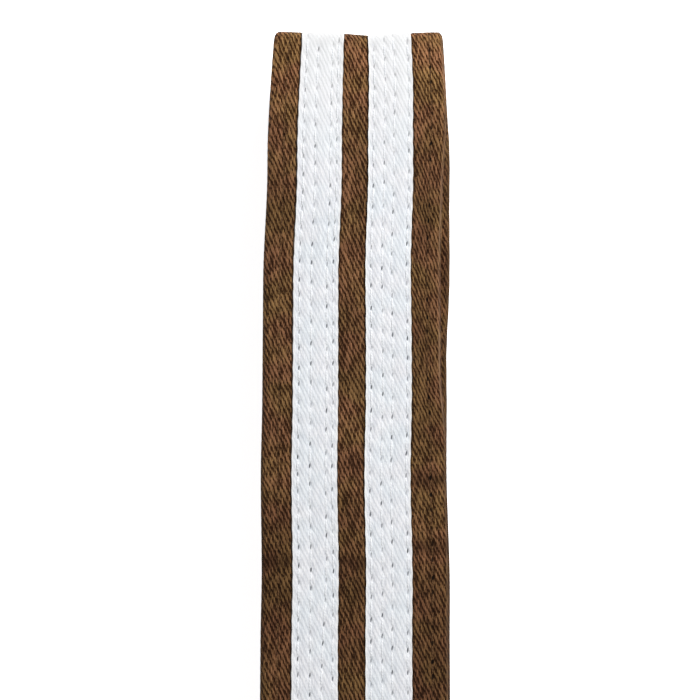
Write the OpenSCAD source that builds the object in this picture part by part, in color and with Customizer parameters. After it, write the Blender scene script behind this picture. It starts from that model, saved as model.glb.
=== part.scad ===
// Striped martial arts belt, folded flat into a hank of eight leaves.
//
// Millimetres. X runs across the belt, Y along the hank and Z up from the surface that it lies on.
// The belt is one long strip. A leaf is a straight length of it, and a fold is the half turn between
// two leaves. The odd folds are at the far end of the hank, +Y, and the even folds at the near end, -Y.
// The face of the belt is the side that shows on the top leaf, and the back is the other side.

/* [Hank] */
// Length of the folded hank, over its end folds
hank_length = 356; // [200:2:420]
// Air between one leaf and the next
leaf_gap = 0.6; // [0.4:0.1:1.2]
// How far the belt's lower tip stops short of the end folds' axis
lower_tip_inset = 6; // [5:1:40]
// How far the belt's upper tip stops short of the end folds' axis
upper_tip_inset = 9; // [5:1:40]

/* [Cover] */
// Width of the belt
belt_width = 40; // [39:0.5:45]
// Thickness of the cover and its core, without the tapes
body_thickness = 2.8; // [2.6:0.1:3.4]
// Thickness of the cover cloth
cover_wall = 0.5; // [0.3:0.05:0.6]
// Place of the slit where the cover's two edges meet, under a back tape
seam_x = -8.3; // [-9:0.1:-7.5]
// Length of the hem that closes each tip
hem_length = 1.5; // [0.5:0.5:3]

/* [Core] */
// Number of core plies
ply_count = 3; // [1:1:5]
// Width of the core plies
ply_width = 36.5; // [30:0.5:36.5]
// Air round each ply
ply_gap = 0.03; // [0.02:0.01:0.05]

/* [Tapes] */
// Width of each tape
tape_width = 9.85; // [9.5:0.05:10]
// Thickness of each tape
tape_thickness = 0.45; // [0.3:0.05:0.6]
// Middle of the left tape
left_tape_x = -8.5; // [-8.6:0.1:-8.4]
// Middle of the right tape
right_tape_x = 7.25; // [7.15:0.05:7.35]

/* [Stitching] */
// Width of a line of thread
thread_width = 0.5; // [0.3:0.1:0.6]
// How deep a line of thread lies in the cloth
thread_depth = 0.15; // [0.1:0.05:0.25]
// Distance from the tip to the first of the rows across it
tip_row_inset = 4; // [3:0.5:6]
// Distance between the rows across a tip
tip_row_step = 4; // [3:0.5:6]
// Number of rows across a tip
tip_rows = 2; // [1:1:4]

/* [Hidden] */
$fn = 48;

leaf_count = 8;
fold_count = leaf_count - 1;

// Places of the stitch rows across the belt: one near each edge of the cover, and four on each tape
edge_rows = [-16.4, 16.5];
tape_rows = [-12.1, -9.5, -6.1, -4.7, 3.4, 5.8, 7.9, 11.2];
rows = concat(edge_rows, tape_rows);

// How far each fold sits in from the end of the hank, from the lowest fold up, as hand-folded cloth lies
fold_setbacks = [1.4, 1.8, 0.6, 0.9, 1.9, 0, 0];

tapes = [left_tape_x, right_tape_x];
body_half = body_thickness / 2;
strap_half = body_half + tape_thickness;
strap_thickness = 2 * strap_half;
pitch = strap_thickness + leaf_gap;
bend_radius = pitch / 2;
end_axis_y = hank_length / 2 - bend_radius - strap_half;
cavity_half = body_half - cover_wall;
ply_thickness = (2 * cavity_half - (ply_count + 1) * ply_gap) / ply_count;
seam_slit = 0.12;
cutter = 1;

cover_color = [0.36, 0.25, 0.17];
core_color = [0.86, 0.83, 0.76];
tape_color = [0.90, 0.91, 0.93];
thread_color = [0.80, 0.81, 0.83];

leaves = [1 : leaf_count];
folds = [1 : fold_count];
LEAF_PIECES = ["cover_leaf_", "core_leaf_", "tapes_leaf_", "stitching_leaf_"];
FOLD_PIECES = ["cover_fold_", "core_fold_", "tapes_fold_", "stitching_fold_"];

function is_odd(k) = k % 2 == 1;
function fold_y(k) = (is_odd(k) ? 1 : -1) * (end_axis_y - fold_setbacks[k - 1]);
function fold_z(k) = strap_half + (k - 0.5) * pitch;
function leaf_z(k) = strap_half + (k - 1) * pitch;
// The ends of leaf k. The belt's two tips are both at the near end.
function far_y(k) = is_odd(k) ? fold_y(k) : fold_y(k - 1);
function near_y(k) = k == 1 ? -end_axis_y + lower_tip_inset
    : k == leaf_count ? -end_axis_y + upper_tip_inset
    : is_odd(k) ? fold_y(k - 1) : fold_y(k);
function has_tip(k) = k == 1 || k == leaf_count;
function on_tape(x) = len([for (t = tapes) if (abs(x - t) < tape_width / 2) 1]) > 0;
function face_height(x) = on_tape(x) ? strap_half : body_half;

// ---- Placing a cross-section, drawn with X across the belt and Y towards its face ----

// Turns the section over where the back of the belt is up, or outside a bend
module turned(over) {
    mirror([0, over ? 1 : 0]) children();
}

module along_leaf(k) {
    translate([0, far_y(k), leaf_z(k)])
        rotate([90, 0, 0])
            linear_extrude(far_y(k) - near_y(k))
                turned(is_odd(k)) children();
}

module round_fold(k) {
    translate([0, fold_y(k), fold_z(k)])
        mirror([0, is_odd(k) ? 0 : 1, 0])
            rotate([0, 90, 0])
                rotate_extrude(angle = 180)
                    translate([bend_radius, 0])
                        mirror([1, -1])
                            turned(!is_odd(k)) children();
}

// ---- Cross-sections ----

module flat_oval(width, thickness) {
    for (side = [-1, 1])
        translate([side * (width - thickness) / 2, 0]) circle(d = thickness);
    square([width - thickness, thickness], center = true);
}

// The thread of each row: the needle thread on the face and the bobbin thread on the back.
// extra carries the shape out past the cloth, to cut the groove that the thread lies in.
module thread_lines(row_list, extra = 0) {
    for (x = row_list, side = [-1, 1])
        translate([x, side * (face_height(x) - (thread_depth - extra) / 2)])
            square([thread_width, thread_depth + extra], center = true);
}

module cover_section() {
    difference() {
        flat_oval(belt_width, body_thickness);
        flat_oval(belt_width - 2 * cover_wall, 2 * cavity_half);
        thread_lines(edge_rows, cutter);
        translate([seam_x, -body_half]) square([seam_slit, 2 * cover_wall + cutter], center = true);
    }
}

module core_section() {
    for (n = [0 : ply_count - 1])
        translate([-ply_width / 2, -cavity_half + ply_gap + n * (ply_thickness + ply_gap)])
            square([ply_width, ply_thickness]);
}

module tapes_section() {
    difference() {
        for (x = tapes, side = [-1, 1])
            translate([x, side * (body_half + tape_thickness / 2)])
                square([tape_width, tape_thickness], center = true);
        thread_lines(tape_rows, cutter);
    }
}

// ---- The belt's tips ----

// The rows across a tip, on the cover and on the tapes, which stand higher
module tip_rows(k, extra = 0) {
    height = thread_depth + extra;
    for (n = [0 : tip_rows - 1], side = [-1, 1])
        translate([0, near_y(k) + tip_row_inset + n * tip_row_step, leaf_z(k)]) {
            for (x = tapes)
                translate([x, 0, side * (strap_half - (thread_depth - extra) / 2)])
                    cube([tape_width, thread_width, height], center = true);
            difference() {
                translate([0, 0, side * (body_half - (thread_depth - extra) / 2)])
                    cube([belt_width - body_thickness, thread_width, height], center = true);
                for (x = tapes)
                    translate([x, 0, 0])
                        cube([tape_width, 2 * thread_width, 3 * strap_thickness], center = true);
            }
        }
}

module tip_hem(k) {
    translate([0, near_y(k) + hem_length, leaf_z(k)])
        rotate([90, 0, 0])
            linear_extrude(hem_length) difference() {
                flat_oval(belt_width, body_thickness);
                thread_lines(edge_rows, cutter);
            }
}

// ---- Leaves ----

module cover_leaf(k) color(cover_color) {
    if (has_tip(k))
        difference() {
            union() {
                along_leaf(k) cover_section();
                tip_hem(k);
            }
            tip_rows(k, cutter);
        }
    else
        along_leaf(k) cover_section();
}

// The core stops short of a tip's hem
module core_leaf(k) color(core_color) {
    difference() {
        along_leaf(k) core_section();
        if (has_tip(k))
            translate([-belt_width / 2, near_y(k) - cutter, leaf_z(k) - body_half])
                cube([belt_width, cutter + hem_length + ply_gap, body_thickness]);
    }
}

module tapes_leaf(k) color(tape_color) {
    difference() {
        along_leaf(k) tapes_section();
        if (has_tip(k)) tip_rows(k, cutter);
    }
}

module stitching_leaf(k) color(thread_color) {
    along_leaf(k) thread_lines(rows);
    if (has_tip(k)) tip_rows(k);
}

// ---- Folds ----

module cover_fold(k) color(cover_color) round_fold(k) cover_section();

module core_fold(k) color(core_color) round_fold(k) core_section();

module tapes_fold(k) color(tape_color) round_fold(k) tapes_section();

module stitching_fold(k) color(thread_color) round_fold(k) thread_lines(rows);

for (k = leaves) {
    cover_leaf(k);
    core_leaf(k);
    tapes_leaf(k);
    stitching_leaf(k);
}
for (k = folds) {
    cover_fold(k);
    core_fold(k);
    tapes_fold(k);
    stitching_fold(k);
}
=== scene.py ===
"""A striped martial arts belt, folded flat into a hank of eight leaves: its cloth, tapes and threads.

The belt is one long strip. s runs along it from its lower tip, x across it, and t out from its
middle towards its face. place() turns the three into a point of the folded hank. Lengths are in
millimetres up to there, and in metres after it.

The frame's eight leaves are joined by seven folds. So each long piece is cut at the middle of the
leaves, and run j, with its own pieces, goes round fold j.
"""

import math
from collections import namedtuple

import bpy
import numpy as np
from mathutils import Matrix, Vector


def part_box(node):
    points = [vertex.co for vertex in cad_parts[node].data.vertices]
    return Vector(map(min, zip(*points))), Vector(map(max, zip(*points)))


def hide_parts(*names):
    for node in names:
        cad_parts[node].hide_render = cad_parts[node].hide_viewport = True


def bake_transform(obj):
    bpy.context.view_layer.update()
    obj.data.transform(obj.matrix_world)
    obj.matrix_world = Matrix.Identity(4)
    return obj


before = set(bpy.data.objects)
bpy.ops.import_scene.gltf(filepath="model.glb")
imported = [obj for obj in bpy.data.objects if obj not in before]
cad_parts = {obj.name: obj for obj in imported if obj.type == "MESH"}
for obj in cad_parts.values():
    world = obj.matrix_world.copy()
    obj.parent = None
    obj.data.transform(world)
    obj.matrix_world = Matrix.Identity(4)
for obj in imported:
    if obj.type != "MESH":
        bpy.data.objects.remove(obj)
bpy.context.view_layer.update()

# ---- Sizes: from the frame where a node gives them, and otherwise as in the CAD model ----

MM = 0.001
LEAVES = range(1, 9)
FOLDS = range(1, 8)
TOP_RUN = 7

COVER_WALL = 0.5
HEM_LENGTH = 1.5
SEAM_X = -8.3
SEAM_GAP = 0.12
PLY_COUNT = 3
PLY_WIDTH = 36.5
PLY_GAP = 0.03
TAPE_WIDTH = 9.85
TAPE_MIDDLES = {"left": -8.5, "right": 7.25}
# The left tape's left and right edges, and the right tape's
TAPE_EDGES = [middle + way * TAPE_WIDTH / 2 for middle in TAPE_MIDDLES.values() for way in (-1, 1)]


def node_box(name):
    """The lowest and highest corners of a CAD node, in millimetres."""
    low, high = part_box(name)
    return np.array(low) / MM, np.array(high) / MM


LEAF_BOXES = {k: node_box(f"cover_leaf_{k}") for k in LEAVES}
NEAR_Y = {k: LEAF_BOXES[k][0][1] for k in LEAVES}
FAR_Y = {k: LEAF_BOXES[k][1][1] for k in LEAVES}
LEAF_Z = {k: (LEAF_BOXES[k][0][2] + LEAF_BOXES[k][1][2]) / 2 for k in LEAVES}
HALF_WIDTH = (LEAF_BOXES[2][1][0] - LEAF_BOXES[2][0][0]) / 2
BODY_HALF = (LEAF_BOXES[2][1][2] - LEAF_BOXES[2][0][2]) / 2
TAPES_BOX = node_box("tapes_leaf_2")
STRAP_HALF = (TAPES_BOX[1][2] - TAPES_BOX[0][2]) / 2
BEND_RADIUS = (LEAF_Z[2] - LEAF_Z[1]) / 2
FOLD_LENGTH = math.pi * BEND_RADIUS
# Half the width of the cover's flat part, and the girth of each of its rolled edges
FLAT_HALF = HALF_WIDTH - BODY_HALF
ARC = math.pi * BODY_HALF

# Where each leaf begins and ends along the belt, and where each fold has its apex
LEAF_START = {}
LEAF_END = {}
reached = 0.0
for leaf in LEAVES:
    LEAF_START[leaf] = reached
    LEAF_END[leaf] = reached + FAR_Y[leaf] - NEAR_Y[leaf]
    reached = LEAF_END[leaf] + FOLD_LENGTH
BELT_LENGTH = LEAF_END[LEAVES[-1]]
HANK_END = FAR_Y[TOP_RUN] + BEND_RADIUS + STRAP_HALF
APEX = {j: LEAF_END[j] + FOLD_LENGTH / 2 for j in FOLDS}


def run_span(j):
    """Where run j begins and ends: at the middle of leaf j and of the next leaf, or at a tip."""
    begin = 0.0 if j == FOLDS[0] else (LEAF_START[j] + LEAF_END[j]) / 2
    end = BELT_LENGTH if j == FOLDS[-1] else (LEAF_START[j + 1] + LEAF_END[j + 1]) / 2
    return begin, end


# ---- Stitch rows ----

# A row's place across the belt, its stitch length, where its first hole is as a share of a stitch, how
# deep it pulls the cloth down, and how far it slips sideways where the hand slipped
Row = namedtuple("Row", "x stitch phase pull slip", defaults=(0.0,))
EDGE_ROWS = [
    Row(-16.4, 3.55, 0.15, 0.06),
    Row(16.5, 3.55, 0.6, 0.06),
]
TAPE_ROWS = {
    "left": [
        Row(-12.1, 3.92, 0.3, 0.2),
        Row(-9.5, 4.46, 0.75, 0.2),
        Row(-6.1, 4.58, 0.1, 0.2, -1.1),
        Row(-4.7, 4.55, 0.5, 0.2),
    ],
    "right": [
        Row(3.4, 4.53, 0.2, 0.2),
        Row(5.8, 4.74, 0.65, 0.2),
        Row(7.9, 4.54, 0.35, 0.2),
        Row(11.2, 4.22, 0.85, 0.2),
    ],
}
# Where past the top fold the hand slipped, and how far that reaches on either side
SLIP_PAST = 152.0
SLIP_REACH = 38.0
# How far a hole strays along its row, as a share of a stitch, and the turn from one stray to the next
STRAY = 0.07
STRAY_TURN = 2.4
# How far a stitch ends from its hole's middle, and how far a hole leans across for each length along
HOLE_GAP = 0.42
HOLE_SLANT = 0.12

# The rows across the belt's tips: their distances from the tip, their stitches, how far a stitch ends
# from its hole, and the groove's depth and half width
TIP_ROWS = (4.0, 8.0)
TIP_STITCHES = 12
TIP_HOLE_GAP = 0.2
TIP_GROOVE = 0.12
TIP_GROOVE_REACH = 0.55


def tip_row_places():
    """Where the rows across the tips are along the belt."""
    return [*TIP_ROWS, *(BELT_LENGTH - inset for inset in TIP_ROWS)]


def hole_place(row, n):
    """Where hole n of a row is along the belt: evenly spaced, apart from a little hand wobble."""
    return row.stitch * (n + row.phase + STRAY * np.sin(STRAY_TURN * n + row.x))


def from_hole(row, s):
    """How far each s is from the row's nearest hole."""
    n = np.round(s / row.stitch - row.phase)
    return s - hole_place(row, n)


# ---- The belt's path ----

# A smooth swelling: its middle, its reach on either side and its height
Swell = namedtuple("Swell", "middle reach height")

# The whole hank's stray to the right, by the distance in from its folded end
HANK_STRAY = 0.1
END_STRAY = 0.75
END_STRAY_SPAN = (33, 58)
HANK_SWELLS = [Swell(100, 16, -0.2), Swell(123, 14, 0.15)]
# How much further the leaf under the top one strays, by the distance along the belt before the top fold
COVERED_STRAY = 0.15
COVERED_STRAY_SPAN = (15, 30)
COVERED_SWELLS = [Swell(28, 30, 0.33), Swell(55, 20, 0.82)]
# The lower leaves stray in slow waves, which begin this far before the top fold
WAVES_SPAN = (120, 300)

# How far in the belt's two edges are drawn at a fold, and over what length of it
LEFT_NECK = 1.4
RIGHT_NECK = 1.1
NECK_LENGTH = 27.0
# The top leaf's right edge is pulled in past the top fold, and let out again
EDGE_PULL = 1.2
EDGE_PULL_FROM = (18, 36)
EDGE_PULL_TO = (78, 94)
# The right tape bows to the right at two places in from the folded end
TAPE_BOW = 0.35
TAPE_BOW_MIDDLE = 7.5
TAPE_BOW_REACH = 11
TAPE_BOWS = [(13, 14), (75, 35)]

# The shape of a fold's ridge: it stands out at the belt's edges, more on the left, and dips between them
FOLD_SAG = 0.35
FOLD_FLARE = 0.31
FOLD_SLANT = 0.003
FOLD_DIP = 0.55
DIP_MIDDLE = 3.0
DIP_REACH = 9.0
# How much thinner a tape on the outside of a fold is pressed there, as a share
TAPE_PRESS = 0.7
# How close the cloth on the inside of a fold may come to the fold's axis
LEAST_RADIUS = 0.05
# The lengths along a leaf, either way from a fold, over which the cloth's layers slip back into step
SLIP_BACK = (5, 60)


def smooth(low, high, value):
    """Rises smoothly from 0 at low to 1 at high."""
    q = np.clip((value - low) / (high - low), 0, 1)
    return q * q * (3 - 2 * q)


def hump(middle, reach, value):
    """1 at the middle, falling smoothly to 0 at the reach on either side."""
    return 1 - smooth(0, reach, np.abs(value - middle))


def swelling(swells, value):
    """The sum of some swellings at each value."""
    return sum(swell.height * hump(swell.middle, swell.reach, value) for swell in swells)


def drift(s, y):
    """How far the hank strays sideways, and how far each lower leaf strays from it."""
    inward = HANK_END - y
    hank = HANK_STRAY + END_STRAY * (1 - smooth(*END_STRAY_SPAN, inward)) + swelling(HANK_SWELLS, inward)
    before = APEX[TOP_RUN] - s
    covered = COVERED_STRAY * smooth(*COVERED_STRAY_SPAN, before) + swelling(COVERED_SWELLS, before)
    waves = 0.25 * np.sin(s / 57) + 0.15 * np.sin(s / 21.3 + 1)
    return hank + covered + smooth(*WAVES_SPAN, before) * waves


def sideways(s, x, y):
    """How far each point moves across: its stray, a fold's narrowing, a tape's bow and a pulled edge."""
    shift = drift(s, y)
    share = np.clip(np.abs(x) / HALF_WIDTH, 1e-6, 1)
    drawn_in = np.where(x < 0, LEFT_NECK * share**0.6, -RIGHT_NECK * share**2)
    for j in FOLDS:
        closeness = np.clip(1 - np.abs(s - APEX[j]) / NECK_LENGTH, 0, 1) ** 1.4
        shift = shift + closeness * drawn_in
    inward = HANK_END - y
    bowed = sum(hump(middle, reach, inward) for middle, reach in TAPE_BOWS)
    shift = shift + TAPE_BOW * hump(TAPE_BOW_MIDDLE, TAPE_BOW_REACH, x) * bowed
    past = s - APEX[TOP_RUN]
    pulled_in = smooth(*EDGE_PULL_FROM, past) * (1 - smooth(*EDGE_PULL_TO, past))
    return shift - EDGE_PULL * pulled_in * smooth(TAPE_EDGES[3], HALF_WIDTH, x)


def fold_reach(x):
    """How far a fold reaches out at each place across the belt, as a share of its round."""
    sag = FOLD_SAG * (1 - (x / HALF_WIDTH) ** 2) + FOLD_DIP * hump(DIP_MIDDLE, DIP_REACH, x)
    return 1 - (sag - FOLD_FLARE + FOLD_SLANT * x) / (BEND_RADIUS + BODY_HALF)


def place(s, x, t):
    """The points of the folded belt, in metres."""
    s, x, t = np.broadcast_arrays(s, x, t)
    y = np.empty(s.shape)
    z = np.empty(s.shape)
    for k in LEAVES:
        on = (s >= LEAF_START[k] - FOLD_LENGTH / 2) & (s <= LEAF_END[k] + FOLD_LENGTH / 2)
        way = 1 if k % 2 else -1
        begin_y = NEAR_Y[k] if k % 2 else FAR_Y[k]
        y[on] = begin_y + way * (s[on] - LEAF_START[k])
        z[on] = LEAF_Z[k] - way * t[on]
    for j in FOLDS:
        on = (s > LEAF_END[j]) & (s < LEAF_START[j + 1])
        side = 1 if j % 2 else -1
        axis_y = FAR_Y[j] if j % 2 else NEAR_Y[j]
        axis_z = (LEAF_Z[j] + LEAF_Z[j + 1]) / 2
        angle = (s[on] - LEAF_END[j]) / BEND_RADIUS
        proud = np.maximum(side * t[on] - BODY_HALF, 0)
        radius = np.maximum(BEND_RADIUS + side * t[on] - TAPE_PRESS * proud * np.sin(angle), LEAST_RADIUS)
        y[on] = axis_y + side * radius * fold_reach(x[on]) * np.sin(angle)
        z[on] = axis_z - radius * np.cos(angle)
    return np.stack([x + sideways(s, x, y), y, z], axis=-1) * MM


def cloth_length(s, layer):
    """Where a point is along its own layer of cloth, at the height t = layer.

    Outside a fold the cloth goes a longer way round, and slips back into step along the leaves.
    """
    slip = np.zeros(np.shape(s))
    for j in FOLDS:
        side = 1 if j % 2 else -1
        turned = np.clip((s - LEAF_END[j]) / BEND_RADIUS, 0, math.pi) - math.pi / 2
        slip = slip + side * turned * (1 - smooth(*SLIP_BACK, np.abs(s - APEX[j])))
    return s + layer * slip


def row_place(row, s):
    """Where a stitch row is across the belt at each s."""
    return row.x + row.slip * hump(SLIP_PAST, SLIP_REACH, s - APEX[TOP_RUN])


# ---- The cloth's relief ----

# The twill's ribs for each millimetre across and along the cloth, how they lean, and how high they stand
TWILL_ACROSS = 1.05
TWILL_ALONG = 0.52
TWILL_LEAN = math.atan(TWILL_ALONG / TWILL_ACROSS)
TWILL_RISE = 0.018
# How far across a stitch row pulls the cloth down, and the share of its pull that holds on average
PULL_REACH = 0.7
MEAN_NEARNESS = 0.55
# The pit at a needle hole: its depth, and its half sizes across and along
PIT = 0.28
PIT_ACROSS = 0.14
PIT_ALONG = 0.42
# The furrow that the tapes press into the cover beside their edges: its depth, its place and its half width
CREASE = 0.16
CREASE_PLACE = 0.2
CREASE_REACH = 0.3
# How far the bare cover bulges between its seams
BULGE = 0.07
# How far the middle of a thread lies over the cloth that it is sewn to, before it is pulled down
PROUD = 0.06
# A bump or hollow of the top leaf: its middle and reach across, and its middle and reach past the top fold
Pucker = namedtuple("Pucker", "x reach past length height")
PUCKERS = [
    Pucker(16.5, 6, 99.6, 3.2, 0.4),
    Pucker(16.5, 6, 103.2, 3.2, -0.4),
    Pucker(16.5, 6, 114.0, 3.2, 0.4),
    Pucker(16.5, 6, 117.6, 3.2, -0.4),
    Pucker(-0.5, 5, 117.6, 3.4, 0.4),
    Pucker(-0.5, 5, 121.3, 3.6, -0.4),
    Pucker(-17.5, 6, 117.2, 3.4, 0.4),
    Pucker(-17.5, 6, 121.0, 3.8, -0.4),
]
# The middle, the reach across and the place past the top fold of each short band of painted shade between
# two puckers
PUCKER_SLOPE_SHADES = [
    (16.5, 5.0, 101.4),
    (16.5, 5.0, 115.8),
    (-0.5, 4.5, 119.4),
    (-17.5, 5.5, 119.1),
]


def ripple(s, x):
    """The slow unevenness of the cloth, which its tapes and threads follow."""
    height = 0.05 * np.sin(s / 4.3 + x / 6.1) * np.sin(s / 13.7 + 0.4)
    height = height + 0.04 * np.sin(s / 9.1 - x / 4.7 + 2)
    past = s - APEX[TOP_RUN]
    for pucker in PUCKERS:
        shape = hump(pucker.x, pucker.reach, x) * hump(pucker.past, pucker.length, past)
        height = height + pucker.height * shape
    return height


def rippled(s, x, t):
    """The heights t with the ripple, which is full on the face and fades to nothing on the back."""
    return t + ripple(s, x) * (0.5 + 0.5 * t / BODY_HALF)


def hole_nearness(row, ahead):
    """The share of a row's pull at each distance from its nearest hole: all of it at the hole itself."""
    return MEAN_NEARNESS + (1 - MEAN_NEARNESS) * np.cos(2 * math.pi * ahead / row.stitch)


def sewn_down(s, x, rows):
    """How deep the stitches of these rows draw the cloth down, with a pit at each hole."""
    depth = np.zeros(np.broadcast(s, x).shape)
    for row in rows:
        off = x - row_place(row, s)
        ahead = from_hole(row, s)
        depth = depth + row.pull * hole_nearness(row, ahead) * np.exp(-((off / PULL_REACH) ** 2))
        slanted = off + HOLE_SLANT * ahead
        depth = depth + PIT * np.exp(-((slanted / PIT_ACROSS) ** 2) - (ahead / PIT_ALONG) ** 2)
    return depth


def tip_grooves(s):
    """How deep the rows across the tips draw the cloth down."""
    return sum(TIP_GROOVE * np.exp(-(((s - at) / TIP_GROOVE_REACH) ** 2)) for at in tip_row_places())


def outline(u, half_width, half_height):
    """The flat oval's points and outward directions. u is the girth from the middle of the face."""
    v = np.abs(u)
    flat = half_width - half_height
    arc = math.pi * half_height
    angle = np.clip(v - flat, 0, arc) / half_height
    x = np.minimum(v, flat) + half_height * np.sin(angle) - np.maximum(v - flat - arc, 0)
    t = half_height * np.cos(angle)
    side = np.sign(u)
    return side * x, t, side * np.sin(angle), np.cos(angle)


def crease(x):
    """1 beside a tape's edge, where the cover is drawn down with it, and 0 away from it."""
    depth = np.zeros(np.shape(x))
    for middle in TAPE_MIDDLES.values():
        off = np.abs(x - middle) - TAPE_WIDTH / 2
        depth = depth + np.exp(-(((off - CREASE_PLACE) / CREASE_REACH) ** 2))
    return depth


def bare(x):
    """1 where the cover shows, and 0 under the tapes."""
    shown = np.ones(np.shape(x))
    for middle in TAPE_MIDDLES.values():
        shown = shown * smooth(TAPE_WIDTH / 2, TAPE_WIDTH / 2 + 0.3, np.abs(x - middle))
    return shown


# ---- Materials ----


class Tree:
    """A new material and its Principled shader, with short ways to add nodes to it."""

    def __init__(self, name):
        self.material = bpy.data.materials.new(name)
        self.material.use_nodes = True
        self.nodes = self.material.node_tree.nodes
        self.links = self.material.node_tree.links
        self.shader = self.nodes["Principled BSDF"]
        place_node = self.node("ShaderNodeAttribute", attribute_name="weave")
        split = self.node("ShaderNodeSeparateXYZ")
        self.links.new(place_node.outputs["Vector"], split.inputs[0])
        self.across, self.along, self.cloth_along = split.outputs
        flat = self.node("ShaderNodeCombineXYZ")
        self.links.new(self.across, flat.inputs[0])
        self.links.new(self.cloth_along, flat.inputs[1])
        self.flat = flat.outputs[0]

    def node(self, kind, **settings):
        made = self.nodes.new(kind)
        for name, value in settings.items():
            setattr(made, name, value)
        return made

    def fill(self, socket, value):
        """Links the socket to another socket, or sets it to a number or colour."""
        if isinstance(value, bpy.types.NodeSocket):
            self.links.new(value, socket)
        else:
            socket.default_value = value

    def math(self, operation, *values):
        made = self.node("ShaderNodeMath", operation=operation)
        for socket, value in zip(made.inputs, values):
            self.fill(socket, value)
        return made.outputs[0]

    def scaled(self, value, factor, offset=0.0):
        return self.math("MULTIPLY_ADD", value, factor, offset)

    def total(self, value, *others):
        for other in others:
            value = self.math("ADD", value, other)
        return value

    def times(self, first, second):
        return self.math("MULTIPLY", first, second)

    def squared(self, value):
        return self.math("POWER", self.math("ABSOLUTE", value), 2.0)

    def distance(self, value, middle=0.0):
        """How far a value is from a middle, either way."""
        return self.math("ABSOLUTE", self.scaled(value, 1.0, -middle))

    def noise(self, scale, detail=2.0, across=1.0, along=1.0, lean=0.0):
        """Noise from 0 to 1 on the flat cloth, its scale in features per millimetre.

        across and along multiply the scale in those directions, which lean turns along the twill.
        """
        mapping = self.node("ShaderNodeMapping", vector_type="TEXTURE")
        self.links.new(self.flat, mapping.inputs["Vector"])
        mapping.inputs["Rotation"].default_value = (0, 0, -lean)
        mapping.inputs["Scale"].default_value = (1 / across, 1 / along, 1)
        made = self.node("ShaderNodeTexNoise")
        self.links.new(mapping.outputs[0], made.inputs["Vector"])
        made.inputs["Scale"].default_value = scale
        made.inputs["Detail"].default_value = detail
        return made.outputs["Fac"]

    def band(self, value, low, high, bottom=0.0, top=1.0):
        """Rises smoothly from bottom to top as the value goes from low to high."""
        made = self.node("ShaderNodeMapRange", interpolation_type="SMOOTHSTEP")
        settings = {"Value": value, "From Min": low, "From Max": high, "To Min": bottom, "To Max": top}
        for name, setting in settings.items():
            self.fill(made.inputs[name], setting)
        return made.outputs[0]

    def mix(self, factor, first, second, blend="MIX"):
        made = self.node("ShaderNodeMix", data_type="RGBA", blend_type=blend)
        self.fill(made.inputs["Factor"], factor)
        self.fill(made.inputs[6], first)
        self.fill(made.inputs[7], second)
        return made.outputs[2]

    def multiplied(self, colour, tint):
        return self.mix(1.0, colour, tint, "MULTIPLY")

    def finish(self, colour, roughness, height, rise, gloss=0.5):
        """Links the colour, roughness and bump. rise is the bump's full height in millimetres."""
        self.shader.inputs["Specular IOR Level"].default_value = gloss
        self.links.new(colour, self.shader.inputs["Base Color"])
        self.fill(self.shader.inputs["Roughness"], roughness)
        bump = self.node("ShaderNodeBump")
        bump.inputs["Distance"].default_value = rise * MM
        self.links.new(height, bump.inputs["Height"])
        self.links.new(bump.outputs["Normal"], self.shader.inputs["Normal"])
        return self.material


def rgb(red, green, blue):
    return (red, green, blue, 1.0)


def twill(tree):
    """A 2/1 twill: its diagonal ribs, its single floats and a chance shade for each float, from 0 to 1."""
    wander = tree.noise(0.45, 3.0)
    across = tree.total(tree.across, tree.scaled(wander, 0.8, -0.4))
    climb = tree.scaled(tree.cloth_along, TWILL_ALONG)
    rib_turn = tree.math("SUBTRACT", tree.scaled(across, TWILL_ACROSS), climb)
    rib = tree.scaled(tree.math("COSINE", tree.scaled(rib_turn, 2 * math.pi)), 0.5, 0.5)
    yarn = tree.scaled(across, 3 * TWILL_ACROSS)
    number = tree.math("FLOOR", yarn)
    off_middle = tree.scaled(tree.math("FRACT", yarn), 2.0, -1.0)
    crown = tree.math("SUBTRACT", 1.0, tree.squared(off_middle))
    float_turn = tree.math("SUBTRACT", tree.scaled(number, 1 / 3), climb)
    over = tree.scaled(tree.math("COSINE", tree.scaled(float_turn, 2 * math.pi)), 0.5, 0.5)
    floats = tree.times(crown, tree.band(over, 0.1, 0.75, 0.1, 1.0))
    place_of_float = tree.node("ShaderNodeCombineXYZ")
    tree.links.new(number, place_of_float.inputs[0])
    tree.links.new(tree.math("FLOOR", tree.total(float_turn, 0.5)), place_of_float.inputs[1])
    chance = tree.node("ShaderNodeTexWhiteNoise")
    tree.links.new(place_of_float.outputs[0], chance.inputs["Vector"])
    return rib, floats, chance.outputs["Value"]


# Half the size of a needle hole's mark of painted shade, along the belt and across it on the tapes and the
# cover
HOLE_HALF_LENGTH = 0.5
TAPE_HOLE_HALF_WIDTH = 0.15
COVER_HOLE_HALF_WIDTH = 0.3


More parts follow.
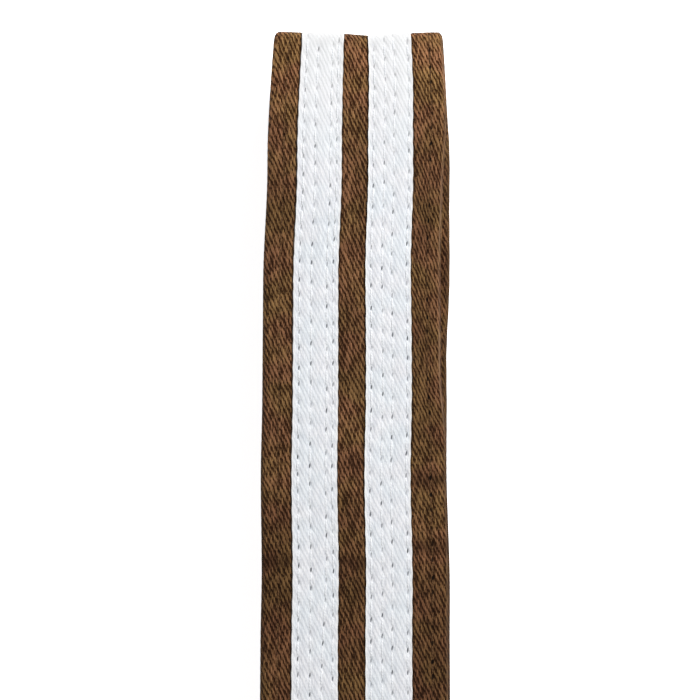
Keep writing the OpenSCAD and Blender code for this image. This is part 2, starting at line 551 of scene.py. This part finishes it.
def needle_holes(tree, rows, half_width):
    """Up to 1 in the small slanted holes of these rows, some more marked than others, and 0 elsewhere."""
    deepest = None
    for row in rows:
        turn = tree.scaled(tree.along, 1 / row.stitch, -row.phase)
        n = tree.math("ROUND", turn)
        stray = tree.math("SINE", tree.scaled(n, STRAY_TURN, row.x))
        middle = tree.math("MULTIPLY_ADD", stray, STRAY, n)
        ahead = tree.scaled(tree.math("SUBTRACT", turn, middle), row.stitch)
        off = tree.scaled(tree.across, 1.0, -row.x)
        if row.slip:
            from_slip = tree.distance(tree.along, APEX[TOP_RUN] + SLIP_PAST)
            off = tree.math("SUBTRACT", off, tree.band(from_slip, SLIP_REACH, 0.0, 0.0, row.slip))
        slanted = tree.total(off, tree.scaled(ahead, HOLE_SLANT))
        wide = tree.squared(tree.scaled(slanted, 1 / half_width))
        long = tree.squared(tree.scaled(ahead, 1 / HOLE_HALF_LENGTH))
        depth = tree.scaled(tree.math("SINE", tree.scaled(n, 5.1, row.phase)), 0.3, 0.7)
        hole = tree.times(tree.band(tree.total(wide, long), 1.5, 0.4), depth)
        deepest = hole if deepest is None else tree.math("MAXIMUM", deepest, hole)
    return deepest


def beside_tapes(tree, reach):
    """1 at the tapes' edges, falling to 0 within the reach."""
    nearest = None
    for middle in TAPE_MIDDLES.values():
        off = tree.distance(tree.across, middle)
        near = tree.band(tree.scaled(off, 1.0, -TAPE_WIDTH / 2), reach, 0.0)
        nearest = near if nearest is None else tree.math("MAXIMUM", nearest, near)
    return nearest


def pucker_slope_shade(tree, past):
    """How dark the painted shade is in the short bands across the top leaf, on the slopes between its
    puckers.
    """
    darkest = None
    for x, reach, at in PUCKER_SLOPE_SHADES:
        across = tree.band(tree.distance(tree.across, x), reach, reach / 2)
        along = tree.band(tree.distance(past, at), 2.2, 0.2)
        dark = tree.times(tree.times(across, along), 0.42)
        darkest = dark if darkest is None else tree.math("MAXIMUM", darkest, dark)
    return darkest


def brown_yarns(tree, rib, floats, chance, fuzz):
    """The drill's colour: painted highlight on its ribs and floats and painted shade in its furrows, with
    each yarn uneven and fuzzy.
    """
    slub = tree.noise(1.1, 3.0, across=2.6, along=0.5, lean=TWILL_LEAN)
    lit = tree.total(
        tree.scaled(rib, 0.34),
        tree.scaled(floats, 0.5),
        tree.scaled(chance, 0.62, -0.31),
        tree.scaled(slub, 1.0, -0.5),
        tree.scaled(fuzz, 0.8, -0.4),
    )
    return tree.mix(tree.band(lit, 0.03, 0.94), rgb(0.032, 0.0115, 0.003), rgb(0.342, 0.18, 0.082))


def brown_patches(tree, cloth):
    """The dye's uneven patches: olive and russet, and darker and lighter."""
    olive = tree.multiplied(cloth, rgb(0.95, 1.0, 0.84))
    russet = tree.multiplied(cloth, rgb(1.04, 0.93, 0.98))
    tinted = tree.mix(tree.band(tree.noise(0.11, 2.0), 0.38, 0.62), olive, russet)
    dim = tree.multiplied(tinted, rgb(0.74, 0.72, 0.72))
    return tree.mix(tree.band(tree.noise(0.09, 3.0), 0.35, 0.65), dim, tinted)


def brown_light_falloff(tree, cloth, past):
    """Painted light and shade along the top leaf: lighter near the top fold, with painted shade on the
    fold's ridge and darker far down the leaf.
    """
    # Painted light: brighter near the top fold.
    lit_near_fold = tree.multiplied(cloth, rgb(1.46, 1.45, 1.44))
    from_ridge = tree.distance(past)
    painted_falloff = tree.mix(tree.band(from_ridge, 32.0, 6.0), cloth, lit_near_fold)
    ridge_shade = tree.multiplied(painted_falloff, rgb(0.86, 0.86, 0.86))
    ridged = tree.mix(tree.band(from_ridge, 6.0, 2.5), painted_falloff, ridge_shade)
    # Painted shade: darker far down the top leaf.
    deep = tree.multiplied(ridged, rgb(0.8, 0.78, 0.76))
    return tree.mix(tree.band(past, 80.0, 135.0), ridged, deep)


def brown_shade_under_top_leaf(tree, cloth, near_edge, past):
    """Painted shade: the leaves under the top one are darker, and the edge that peeks out beside it darker
    still.
    """
    to_right = tree.times(near_edge, tree.band(tree.across, 10.0, 18.0, 0.0, 0.6))
    shows = tree.times(to_right, tree.band(past, -120.0, -95.0))
    shaded_under = tree.multiplied(cloth, rgb(0.8, 0.78, 0.76))
    painted_edge = tree.mix(shows, shaded_under, rgb(0.088, 0.046, 0.017))
    return tree.mix(tree.band(past, -20.0, -28.0), cloth, painted_edge)


def brown_painted_edges_and_creases(tree, cloth, near_edge, past):
    """Painted shade in the short creases and at the rolled edges, and a painted highlight along the right
    rim.
    """
    crease_shaded = tree.mix(pucker_slope_shade(tree, past), cloth, rgb(0.03, 0.012, 0.005))
    edge_shade = tree.times(near_edge, tree.band(past, 40.0, 110.0, 0.1, 0.6))
    edge_shaded = tree.mix(edge_shade, crease_shaded, rgb(0.02, 0.009, 0.004))
    off_rim = tree.distance(tree.across, FLAT_HALF + 1.1)
    painted_shading = tree.band(tree.noise(0.12, 2.0), 0.4, 0.6, 0.2, 0.6)
    rim_highlight = tree.times(tree.band(off_rim, 0.36, 0.08), painted_shading)
    return tree.mix(rim_highlight, edge_shaded, rgb(0.33, 0.195, 0.11))


def brown_twill():
    """The cover's brown cotton drill and its patches, with painted light and shade, and a row of holes near
    each edge.
    """
    tree = Tree("brown_twill")
    rib, floats, chance = twill(tree)
    fuzz = tree.noise(7.0, 2.0)
    past = tree.scaled(tree.along, 1.0, -APEX[TOP_RUN])
    near_edge = tree.band(tree.distance(tree.distance(tree.across), FLAT_HALF + ARC / 2), 1.9, 0.7)

    dyed = brown_patches(tree, brown_yarns(tree, rib, floats, chance, fuzz))
    painted_falloff = brown_light_falloff(tree, dyed, past)
    pale_fibre = tree.band(tree.noise(3.0, 1.0, across=2.2, along=0.7), 0.74, 0.8, 0.0, 0.5)
    flecked = tree.mix(pale_fibre, painted_falloff, rgb(0.34, 0.22, 0.14))
    covered = brown_shade_under_top_leaf(tree, flecked, near_edge, past)
    painted_shading = brown_painted_edges_and_creases(tree, covered, near_edge, past)
    # Painted shade in the cover beside the tapes' raised edges.
    shaded_beside_tapes = tree.mix(tree.scaled(beside_tapes(tree, 0.55), 0.75), painted_shading, rgb(0.02, 0.01, 0.005))

    # Painted shade in the needle holes, fainter in the left row than in the right row
    holes = needle_holes(tree, EDGE_ROWS, COVER_HOLE_HALF_WIDTH)
    hole_shade = tree.times(holes, tree.band(tree.across, -15.0, 15.0, 0.45, 1.0))
    colour = tree.mix(hole_shade, shaded_beside_tapes, rgb(0.008, 0.004, 0.002))
    woven = tree.total(tree.scaled(rib, 0.3), tree.scaled(floats, 0.7), tree.scaled(fuzz, 0.35))
    height = tree.math("SUBTRACT", woven, holes)
    return tree.finish(colour, tree.scaled(fuzz, 0.15, 0.82), height, 0.14, gloss=0.12)


def white_yarns(tree, rib, floats, chance, fuzz):
    """The tape's colour: whitened cotton with painted soft shade in its furrows and painted highlight on
    its ribs and floats.
    """
    slub = tree.noise(0.9, 3.0, across=3.0, along=0.5, lean=TWILL_LEAN)
    lit = tree.total(
        tree.scaled(rib, 0.15),
        tree.scaled(floats, 0.5),
        tree.scaled(chance, 0.5, -0.25),
        tree.scaled(slub, 0.8, -0.4),
        tree.scaled(fuzz, 0.6, -0.2),
    )
    return tree.mix(tree.band(lit, -0.1, 0.85), rgb(0.715, 0.735, 0.765), rgb(0.92, 0.925, 0.93))


def white_patches(tree, cloth):
    """The tape's uneven patches: a little grey with age, and cooler and warmer."""
    shade = tree.band(tree.noise(0.25, 3.0), 0.35, 0.75, 0.0, 0.25)
    aged = tree.mix(shade, cloth, rgb(0.75, 0.775, 0.82))
    rosy = tree.multiplied(aged, rgb(1.0, 0.985, 0.99))
    cool = tree.multiplied(aged, rgb(0.972, 0.99, 1.0))
    return tree.mix(tree.band(tree.noise(0.12, 2.0), 0.38, 0.62), cool, rosy)


def white_tape(side):
    """A white cotton tape: faint twill, smoother at the top fold, with painted shade on the ridge and in
    its holes and a warm-tinted painted highlight on its edges.
    """
    tree = Tree(f"white_tape_{side}")
    rib, floats, chance = twill(tree)
    fuzz = tree.noise(6.0, 2.0)
    tinted = white_patches(tree, white_yarns(tree, rib, floats, chance, fuzz))
    from_ridge = tree.distance(tree.along, APEX[TOP_RUN])
    smoothed = tree.mix(tree.band(from_ridge, 42.0, 0.0, 0.0, 0.85), tinted, rgb(0.865, 0.86, 0.86))
    # Painted shade on the top fold's ridge.
    ridge_shade = tree.multiplied(smoothed, rgb(0.87, 0.87, 0.865))
    ridged = tree.mix(tree.band(from_ridge, 4.8, 2.0), smoothed, ridge_shade)
    off_middle = tree.distance(tree.across, TAPE_MIDDLES[side])
    # A painted highlight, warm-tinted, along the tape's edges.
    edge = tree.band(off_middle, TAPE_WIDTH / 2 - 0.55, TAPE_WIDTH / 2 - 0.15, 0.0, 0.8)
    painted_edge = tree.mix(edge, ridged, rgb(0.96, 0.945, 0.925))
    holes = needle_holes(tree, TAPE_ROWS[side], TAPE_HOLE_HALF_WIDTH)
    # Painted shade in the needle holes, fainter near the top fold.
    hole_shade = tree.times(holes, tree.band(from_ridge, 0.0, 60.0, 0.35, 0.95))
    colour = tree.mix(hole_shade, painted_edge, rgb(0.12, 0.13, 0.15))
    woven = tree.total(tree.scaled(rib, 0.35), tree.scaled(floats, 0.65), tree.scaled(fuzz, 0.35))
    height = tree.math("SUBTRACT", woven, holes)
    tree.shader.inputs["Sheen Weight"].default_value = 0.05
    return tree.finish(colour, tree.scaled(fuzz, 0.15, 0.78), height, 0.08, gloss=0.25)


def thread_material(name, dark, light):
    """Twisted sewing thread: slanting plies, with a slight gloss. Across is the turn round the thread."""
    twists_per_mm = 1.6
    tree = Tree(name)
    turn = tree.total(tree.across, tree.scaled(tree.along, twists_per_mm))
    ply = tree.scaled(tree.math("COSINE", tree.scaled(turn, 2 * math.pi)), 0.5, 0.5)
    fuzz = tree.noise(9.0, 2.0)
    lit = tree.total(tree.scaled(ply, 0.8), tree.scaled(fuzz, 0.4, -0.1))
    # The plies are lighter on their crowns and darker in the grooves between them: painted highlight and
    # painted shade.
    colour = tree.mix(tree.band(lit, 0.0, 1.0), dark, light)
    return tree.finish(colour, tree.scaled(fuzz, 0.2, 0.65), ply, 0.03, gloss=0.2)


def core_canvas():
    """The core's unbleached canvas, a plain weave of coarse yarns."""
    warp_step = 0.55
    weft_step = 0.6
    tree = Tree("core_canvas")
    warp = tree.math("ABSOLUTE", tree.math("SINE", tree.scaled(tree.across, math.pi / warp_step)))
    weft = tree.math("ABSOLUTE", tree.math("SINE", tree.scaled(tree.along, math.pi / weft_step)))
    weave = tree.times(warp, weft)
    fuzz = tree.noise(4.0, 2.0)
    lit = tree.total(weave, tree.scaled(fuzz, 0.5, -0.25))
    # Lighter where the yarns cross on top and darker in the gaps between them: painted highlight and
    # painted shade.
    colour = tree.mix(tree.band(lit, 0.0, 1.0), rgb(0.42, 0.36, 0.26), rgb(0.74, 0.68, 0.56))
    return tree.finish(colour, tree.scaled(fuzz, 0.1, 0.85), weave, 0.15)


MATERIALS = {
    "cover": brown_twill(),
    "core": core_canvas(),
    "left": white_tape("left"),
    "right": white_tape("right"),
    "white": thread_material("white_thread", rgb(0.8, 0.815, 0.84), rgb(0.9, 0.905, 0.915)),
    "brown": thread_material("brown_thread", rgb(0.075, 0.034, 0.012), rgb(0.15, 0.073, 0.028)),
}

# ---- Making pieces ----

SHARP_FROM = math.radians(50)


def add_object(name, data):
    """A new object in the scene, which holds this mesh, light or camera."""
    made = bpy.data.objects.new(name, data)
    bpy.context.scene.collection.objects.link(made)
    return made


def add_piece(name, s, x, t, weave, layer, material):
    """Adds one piece of run j, made of closed tubes, which goes round fold j.

    The arrays' axes are the tube, the ring along it and the column round it. weave is the place
    across the flat cloth, and layer is the cloth's height in the belt before its relief. The
    materials read weave, s and the length along the cloth itself.
    """
    points = place(s, x, t).reshape(-1, 3)
    index = np.arange(len(points)).reshape(s.shape)
    beside = np.roll(index, -1, axis=2)
    quads = np.stack([index[:, :-1], index[:, 1:], beside[:, 1:], beside[:, :-1]], axis=-1)
    caps = index[:, 0].tolist() + index[:, -1, ::-1].tolist()
    mesh = bpy.data.meshes.new(name)
    mesh.from_pydata(points.tolist(), [], quads.reshape(-1, 4).tolist() + caps)
    mesh.shade_smooth()
    mesh.set_sharp_from_angle(angle=SHARP_FROM)
    flat = np.stack(np.broadcast_arrays(weave, s, cloth_length(s, layer)), axis=-1)
    attribute = mesh.attributes.new("weave", "FLOAT_VECTOR", "POINT")
    attribute.data.foreach_set("vector", flat.astype(np.float32).ravel())
    mesh.materials.append(material)
    piece = add_object(name, mesh)
    bend_round_fold(piece)
    return piece


def bend_round_fold(piece):
    """Applies a piece's object transform to its mesh."""
    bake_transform(piece)


def spread(begin, end, step):
    """Evenly spaced values from begin to end, no further apart than the step."""
    return np.linspace(begin, end, max(2, math.ceil(abs(end - begin) / step - 1e-6) + 1))


def join(*parts):
    """The parts one after another, each value once."""
    values = np.unique(np.concatenate([np.atleast_1d(part) for part in parts]))
    return values[np.concatenate([[True], np.diff(values) > 0.01])]


# How far before the top fold the fine mesh begins, and how far past it the mesh is fine
FINE_FROM = 22.0
FINE_TO = 200.0
# The steps between rings on a lower run, on the top run where it isn't fine, and their number round a fold
LOWER_STEP = 2.0
TOP_STEP = 1.5
FOLD_STEPS = 14
# The rings at a groove across a tip, by their distance from it, and those in a hem, as shares of it
GROOVE_RINGS = (-1.1, -0.5, 0.0, 0.5, 1.1)
HEM_RINGS = (0.2, 0.55, 0.88, 0.95, 1)


def rings(j, fine_step, begin_inset=0.0, end_inset=0.0):
    """Where run j has its rings: close together round its fold, and on the top leaf near it."""
    begin, end = run_span(j)
    begin += begin_inset
    end -= end_inset
    tips = [at + step for at in tip_row_places() for step in GROOVE_RINGS]
    tips += [HEM_LENGTH * share for share in HEM_RINGS]
    tips += [BELT_LENGTH - HEM_LENGTH * share for share in HEM_RINGS]
    tips = [at for at in tips if begin < at < end]
    if j == TOP_RUN and fine_step:
        fine_begin = LEAF_END[j] - FINE_FROM
        fine = spread(fine_begin, fine_begin + FINE_FROM + FOLD_LENGTH + FINE_TO, fine_step)
        return join(spread(begin, fine_begin, TOP_STEP), fine, spread(fine[-1], end, TOP_STEP), tips)
    fold_begin = LEAF_END[j] - 1
    fold_end = LEAF_START[j + 1] + 1
    return join(
        spread(begin, fold_begin, LOWER_STEP),
        spread(fold_begin, fold_end, FOLD_LENGTH / FOLD_STEPS),
        spread(fold_end, end, LOWER_STEP),
        tips,
    )


def cad_nodes(kind, j):
    """The CAD nodes that a piece of run j stands for: its fold, the leaf after it, and the first leaf."""
    return [f"{kind}_fold_{j}", f"{kind}_leaf_{j + 1}"] + ([f"{kind}_leaf_1"] if j == FOLDS[0] else [])


def near_rows(rows):
    """Columns close to each stitch row."""
    offsets = (-1.1, -0.65, -0.35, -0.14, 0.0, 0.14, 0.35, 0.65, 1.1)
    return [row.x + offset for row in rows for offset in offsets]


# The steps between the cover's columns, on a fine face, elsewhere, and under the tapes
FINE_COLUMN_STEP = 0.65
COLUMN_STEP = 1.6
HIDDEN_COLUMN_STEP = 3.0


def face_columns(fine):
    """Where the cover has its columns across its flat face."""
    step = FINE_COLUMN_STEP if fine else COLUMN_STEP
    knots = [-FLAT_HALF, *TAPE_EDGES, FLAT_HALF]
    steps = [step, HIDDEN_COLUMN_STEP, step, HIDDEN_COLUMN_STEP, step]
    strips = [spread(*strip) for strip in zip(knots[:-1], knots[1:], steps)]
    beside = [edge + way * off for edge, way in zip(TAPE_EDGES, (-1, 1, -1, 1)) for off in (0.2, 0.45)]
    columns = join(*strips, beside)
    return join(columns, near_rows(EDGE_ROWS)) if fine else columns


# The fine mesh's rings for each rib, and the places past the fold between which its ribs fade out
RINGS_PER_RIB = 4
RIBS_END = (FINE_TO - 25, FINE_TO - 5)
# How far round onto the back the skewed mesh eases back, and over what length at a run's two ends
SKEW_EASE = 12
SKEW_END_EASE = 60
# The length over which the belt's end is rounded
HEM_ROUND = 0.8


def twill_skew(u):
    """How far each column's rings run on ahead, so that the mesh lies along the twill's ribs."""
    steep = TWILL_ACROSS / TWILL_ALONG
    edge = FLAT_HALF + ARC / 2
    bare_strips = [-edge, *TAPE_EDGES, edge]
    knots = [(-edge - SKEW_EASE, 0)]
    for begin, end in zip(bare_strips[::2], bare_strips[1::2]):
        knots += [(begin, 0), (end, steep * (end - begin))]
    knots.append((edge + SKEW_EASE, 0))
    places, ahead = zip(*knots)
    return np.interp(u, places, ahead)


def tip_shape(s, reach):
    """From 1 along the belt to 0 at its tips, over the reach."""
    return np.clip(np.minimum(s, BELT_LENGTH - s) / reach, 0, 1)


def cover_columns(fine):
    """The columns round the cover's outside and its inside, as girths from the middle of the face."""
    back_middle = 2 * FLAT_HALF + ARC
    seam_right = back_middle - SEAM_X - SEAM_GAP / 2
    seam_left = -(back_middle + SEAM_X - SEAM_GAP / 2)
    back = face_columns(False)
    right_back = back_middle - back[back > SEAM_X + 0.2]
    left_back = -(back_middle + back[back < SEAM_X - 0.2])
    bend = spread(0, ARC, ARC / 8)
    right_edge = FLAT_HALF + bend
    left_edge = -FLAT_HALF - bend
    outer = join(seam_left, left_back, left_edge, face_columns(fine), right_edge, right_back, seam_right)
    inner_back = (-26, 30, 38)
    inner_face = (-14, -7, 0, 7, 14)
    inner = join(seam_left, left_edge[::2], right_edge[::2], inner_back, inner_face, seam_right)
    return outer, inner


def inside_girth(u):
    """The girth on the cover's inside under each girth on its outside."""
    v = np.abs(u)
    bend = np.clip(v - FLAT_HALF, 0, ARC) * (BODY_HALF - COVER_WALL) / BODY_HALF
    return np.sign(u) * (np.minimum(v, FLAT_HALF) + bend + np.maximum(v - FLAT_HALF - ARC, 0))


def cover_piece(j):
    """The cover of run j: a cloth tube with a seam down its back, closed by a hem at the belt's tips."""
    fine = j == TOP_RUN
    begin, end = run_span(j)
    outer, inner = cover_columns(fine)
    u = np.concatenate([outer, inner[::-1]])[None, :]
    is_outer = np.arange(u.size)[None, :] < outer.size
    ring = rings(j, 1 / (RINGS_PER_RIB * TWILL_ALONG))[:, None]
    skewed = smooth(0, SKEW_END_EASE, ring - begin) * smooth(0, SKEW_END_EASE, end - ring) if fine else 0.0
    s = ring + skewed * twill_skew(u)

    # The hem: the two walls of the tube come together over its length, and its end is a little rounded
    hem = tip_shape(s, HEM_LENGTH)
    closed = 1 - smooth(0.9, 1.0, hem)
    softened = 1 - 0.3 * (1 - tip_shape(s, HEM_ROUND)) ** 2
    outer_x, outer_t, out_x, out_t = outline(u, HALF_WIDTH, BODY_HALF)
    inner_x, inner_t, _, _ = outline(inside_girth(u), HALF_WIDTH - COVER_WALL, BODY_HALF - COVER_WALL)
    inner_t = inner_t * (1 - 0.98 * closed)

    relief = BULGE - tip_grooves(s)
    if fine:
        climb = TWILL_ALONG * cloth_length(s, outer_t)
        ribs = TWILL_RISE * np.cos(2 * math.pi * (TWILL_ACROSS * u - climb))
        fine_zone = 1 - smooth(*RIBS_END, s - APEX[TOP_RUN])
        relief = relief + fine_zone * ribs - sewn_down(s, outer_x, EDGE_ROWS)
    relief = bare(outer_x) * relief - CREASE * crease(outer_x)
    x = np.where(is_outer, outer_x + out_x * relief, inner_x)
    t = np.where(is_outer, (outer_t + out_t * relief) * softened, inner_t)
    t = rippled(s, x, t)

    weave = (u + np.zeros(s.shape))[None]
    layer = np.where(is_outer, outer_t, inner_t)[None]
    cloth = MATERIALS["cover"]
    piece = add_piece(f"cover_{j}", s[None], x[None], t[None], weave, layer, cloth)
    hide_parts(*cad_nodes("cover", j))
    return piece


def core_piece(j):
    """The core of run j: three plies of canvas inside the cover, which stop short of a tip's hem."""
    inset = HEM_LENGTH + PLY_GAP
    ring = rings(j, None, inset if j == FOLDS[0] else 0, inset if j == FOLDS[-1] else 0)
    room = 2 * (BODY_HALF - COVER_WALL)
    ply = (room - (PLY_COUNT + 1) * PLY_GAP) / PLY_COUNT
    half = PLY_WIDTH / 2
    columns = np.array([-half, -half / 3, half / 3, half])
    x = np.concatenate([columns, columns[::-1]])
    tubes = []
    for n in range(PLY_COUNT):
        bottom = -room / 2 + PLY_GAP + n * (ply + PLY_GAP)
        tubes.append(np.repeat([bottom + ply, bottom], columns.size))
    t = np.stack(tubes)[:, None, :]
    s, x, t = np.broadcast_arrays(ring[None, :, None], x[None, None, :], t)
    t = rippled(s, x, t)
    piece = add_piece(f"core_{j}", s, x, t, x, t, MATERIALS["core"])
    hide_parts(*cad_nodes("core", j))
    return piece


# A tape's section: its chamfer, and the shares of its thickness at its underside and at its shoulders
TAPE_CHAMFER = 0.12
TAPE_CLEAR = 0.02
TAPE_SHOULDER = 0.7
# How far its top swells between the stitches, how much more in its middle, and how far its edges wave
TAPE_PLUMP = 0.05
TAPE_CROWN = 0.06
TAPE_SCALLOP = 0.05
# The step between a fine tape's rings, and those between columns: on a fine top, a plain top and below
FINE_TAPE_STEP = 0.42
TAPE_COLUMN_STEPS = (0.3, 1.0, 3.3)


def tape_columns(side, fine):
    """The columns round a tape: their places across, and their lifts as shares of its thickness."""
    left, right = TAPE_EDGES[:2] if side == "left" else TAPE_EDGES[2:]
    fine_step, plain_step, under_step = TAPE_COLUMN_STEPS
    top = spread(left + TAPE_CHAMFER, right - TAPE_CHAMFER, fine_step if fine else plain_step)
    if fine:
        top = join(top, near_rows(TAPE_ROWS[side])[::2])
    under = spread(left, right, under_step)[-2:0:-1]
    x = np.concatenate([[left, left], top, [right, right], under])
    side_lift = [TAPE_CLEAR, TAPE_SHOULDER]
    lift = [side_lift, np.ones(top.size), side_lift[::-1], np.full(under.size, TAPE_CLEAR)]
    return x, np.concatenate(lift)


def tape_piece(j, face, side):
    """One tape of run j, on the belt's face or back, quilted down by its stitch rows."""
    fine = j == TOP_RUN and face == "face"
    up = 1 if face == "face" else -1
    rows = TAPE_ROWS[side]
    x, lift = tape_columns(side, fine)
    s = rings(j, FINE_TAPE_STEP if fine else None)[:, None]
    s, x, lift = np.broadcast_arrays(s, x[None], lift[None])
    depth = (sewn_down(s, x, rows) if fine else rows[0].pull / 2) + tip_grooves(s)
    outward = (x - TAPE_MIDDLES[side]) / (TAPE_WIDTH / 2)
    crown = TAPE_CROWN * (1 - outward**2)
    height = lift * (STRAP_HALF - BODY_HALF) + np.where(lift == 1, TAPE_PLUMP + crown - depth, 0)
    edge_row = rows[0] if side == "left" else rows[-1]
    scallop = TAPE_SCALLOP * np.cos(2 * math.pi * from_hole(edge_row, s) / edge_row.stitch)
    x = x + scallop * outward
    t = rippled(s, x, up * (BODY_HALF + height))
    if up < 0:
        s, x, t = s[:, ::-1], x[:, ::-1], t[:, ::-1]
    name = f"{face}_{side}_tape_{j}"
    layer = up * STRAP_HALF
    piece = add_piece(name, s[None], x[None], t[None], x[None], layer, MATERIALS[side])
    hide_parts(*cad_nodes("tapes", j))
    return piece


# Half the width and half the height of a stitch's flattened thread
THREAD_HALF_WIDTH = {"white": 0.19, "brown": 0.15}
THREAD_HALF_HEIGHT = {"white": 0.12, "brown": 0.08}


def stitch_shape(fine):
    """One stitch's rings: the share of its length, the height of each, and the angles round it."""
    reach = [0, 0.12, 0.88, 1]
    sunk = [-0.4, 0.06, 0.06, -0.4]
    sides = 5
    if fine:
        reach = [0, 0.05, 0.14, 0.5, 0.86, 0.95, 1]
        sunk = [-0.42, -0.16, 0.04, 0.1, 0.04, -0.16, -0.42]
        sides = 6
    return np.array(reach), np.array(sunk), np.arange(sides) * 2 * math.pi / sides


def stitch_tubes(j, thread, rows, level, fine):
    """The stitches of these rows, on the belt's face and back: each runs from hole to hole."""
    begin, end = run_span(j)
    reach, sunk, round_it = stitch_shape(fine)
    tubes = []
    for row in rows:
        first = math.ceil((begin - row.stitch) / row.stitch)
        n = np.arange(first, int(end / row.stitch) + 1)
        starts = hole_place(row, n) + HOLE_GAP
        ends = hole_place(row, n + 1) - HOLE_GAP
        middles = (starts + ends) / 2
        kept = (middles >= begin) & (middles < end) & (starts > 1) & (ends < BELT_LENGTH - 1)
        starts, ends = starts[kept, None, None], ends[kept, None, None]
        for up in (1, -1):
            along = starts + (ends - starts) * reach[None, :, None]
            lean = -HOLE_SLANT * HOLE_GAP * 2 * (reach[None, :, None] - 0.5)
            s, x, ring_turn = np.broadcast_arrays(along, row_place(row, along) + lean, round_it)
            depth = row.pull * (hole_nearness(row, from_hole(row, s)) if fine else MEAN_NEARNESS)
            surface = level + PROUD - depth + sunk[None, :, None]
            t = up * (surface + THREAD_HALF_HEIGHT[thread] * np.sin(ring_turn))
            x = x + up * THREAD_HALF_WIDTH[thread] * np.cos(ring_turn)
            tubes.append((s, x, t))
    if thread == "brown":
        tubes += tip_tubes(j, fine)
    s, x, t = (np.concatenate(part) for part in zip(*tubes))
    t = rippled(s, x, t)
    turn = np.broadcast_to(round_it[None, None, :] / (2 * math.pi), s.shape)
    return s[:, :, ::-1], x[:, :, ::-1], t[:, :, ::-1], turn[:, :, ::-1]


def tip_tubes(j, fine):
    """The stitches of the rows across a tip, over the cover and its tapes."""
    begin, end = run_span(j)
    holes = np.linspace(-FLAT_HALF, FLAT_HALF, TIP_STITCHES + 1)
    reach, sunk, round_it = stitch_shape(fine)
    starts = holes[:-1, None, None] + TIP_HOLE_GAP
    ends = holes[1:, None, None] - TIP_HOLE_GAP
    tubes = []
    for at in tip_row_places():
        if not begin < at < end:
            continue
        for up in (1, -1):
            x = starts + (ends - starts) * reach[None, :, None]
            level = BODY_HALF + (STRAP_HALF - BODY_HALF) * (1 - bare(x)) + PROUD - TIP_GROOVE
            t = up * (level + sunk[None, :, None] + THREAD_HALF_HEIGHT["brown"] * np.sin(round_it))
            s = at - up * THREAD_HALF_WIDTH["brown"] * np.cos(round_it)
            tubes.append(np.broadcast_arrays(s, x, t))
    return tubes


def stitching_piece(j, thread):
    """All the stitches of one thread on run j. The rows across a tip are of the brown thread."""
    fine = j == TOP_RUN
    rows = EDGE_ROWS if thread == "brown" else TAPE_ROWS["left"] + TAPE_ROWS["right"]
    level = BODY_HALF if thread == "brown" else STRAP_HALF
    s, x, t, turn = stitch_tubes(j, thread, rows, level, fine)
    piece = add_piece(f"{thread}_stitches_{j}", s, x, t, turn, 0.0, MATERIALS[thread])
    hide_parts(*cad_nodes("stitching", j))
    return piece


for run in FOLDS:
    cover_piece(run)
    core_piece(run)
    for face_name in ("face", "back"):
        for side_name in TAPE_MIDDLES:
            tape_piece(run, face_name, side_name)
    for thread_name in ("white", "brown"):
        stitching_piece(run, thread_name)

# ---- Stage, light and camera ----


def add_floor():
    """A plain white floor, just under the belt, that gives a little light of its own like a light table."""
    half = 12.0
    height = -0.0002
    corners = [(-half, -half), (half, -half), (half, half), (-half, half)]
    mesh = bpy.data.meshes.new("floor")
    mesh.from_pydata([(x, y, height) for x, y in corners], [], [(0, 1, 2, 3)])
    material = bpy.data.materials.new("floor_white")
    material.use_nodes = True
    shader = material.node_tree.nodes["Principled BSDF"]
    shader.inputs["Base Color"].default_value = rgb(0.95, 0.95, 0.95)
    shader.inputs["Roughness"].default_value = 0.9
    shader.inputs["Emission Color"].default_value = rgb(1, 1, 1)
    shader.inputs["Emission Strength"].default_value = 0.75
    mesh.materials.append(material)
    floor = add_object("floor", mesh)


def add_area_light(name, location, target, size, watts):
    """A soft square light at a place, pointed at another. Lengths are in metres."""
    light = bpy.data.lights.new(name, "AREA")
    light.size = size
    light.energy = watts
    aim(add_object(name, light), location, target)


def aim(thing, location, target):
    """Puts a lamp or camera at a place and points it at another, both in metres."""
    thing.location = Vector(location)
    way = Vector(target) - Vector(location)
    thing.rotation_euler = way.to_track_quat("-Z", "Y").to_euler()


CAMERA_DISTANCE = 0.500
CAMERA_TILT = math.radians(11)
CAMERA_LENS = 118.4
CAMERA_CLIP_START = 0.01
CAMERA_TARGET = np.array([-0.9, 104.3, LEAF_Z[8] + STRAP_HALF]) * MM


def add_camera():
    """The camera looks down on the far end of the hank, leaning a little towards it."""
    camera_data = bpy.data.cameras.new("camera")
    camera_data.lens = CAMERA_LENS
    camera_data.clip_start = CAMERA_CLIP_START
    camera = add_object("camera", camera_data)
    lean = np.array([0, -math.sin(CAMERA_TILT), math.cos(CAMERA_TILT)])
    aim(camera, CAMERA_TARGET + CAMERA_DISTANCE * lean, CAMERA_TARGET)
    bpy.context.scene.camera = camera


def add_world():
    """A dim, slightly cool light from all round."""
    world = bpy.data.worlds.new("studio")
    world.use_nodes = True
    background = world.node_tree.nodes["Background"]
    background.inputs["Color"].default_value = rgb(0.93, 0.96, 1.0)
    background.inputs["Strength"].default_value = 0.25
    bpy.context.scene.world = world


add_floor()
add_world()
add_area_light("key_light", (0.4, 0.62, 0.7), target=(0, 0.12, 0.03), size=0.32, watts=8.4)
add_area_light("fill_light", (-0.6, -0.3, 0.9), target=(0, 0, 0.03), size=0.8, watts=2)
add_camera()
bpy.context.scene.view_settings.view_transform = "Standard"
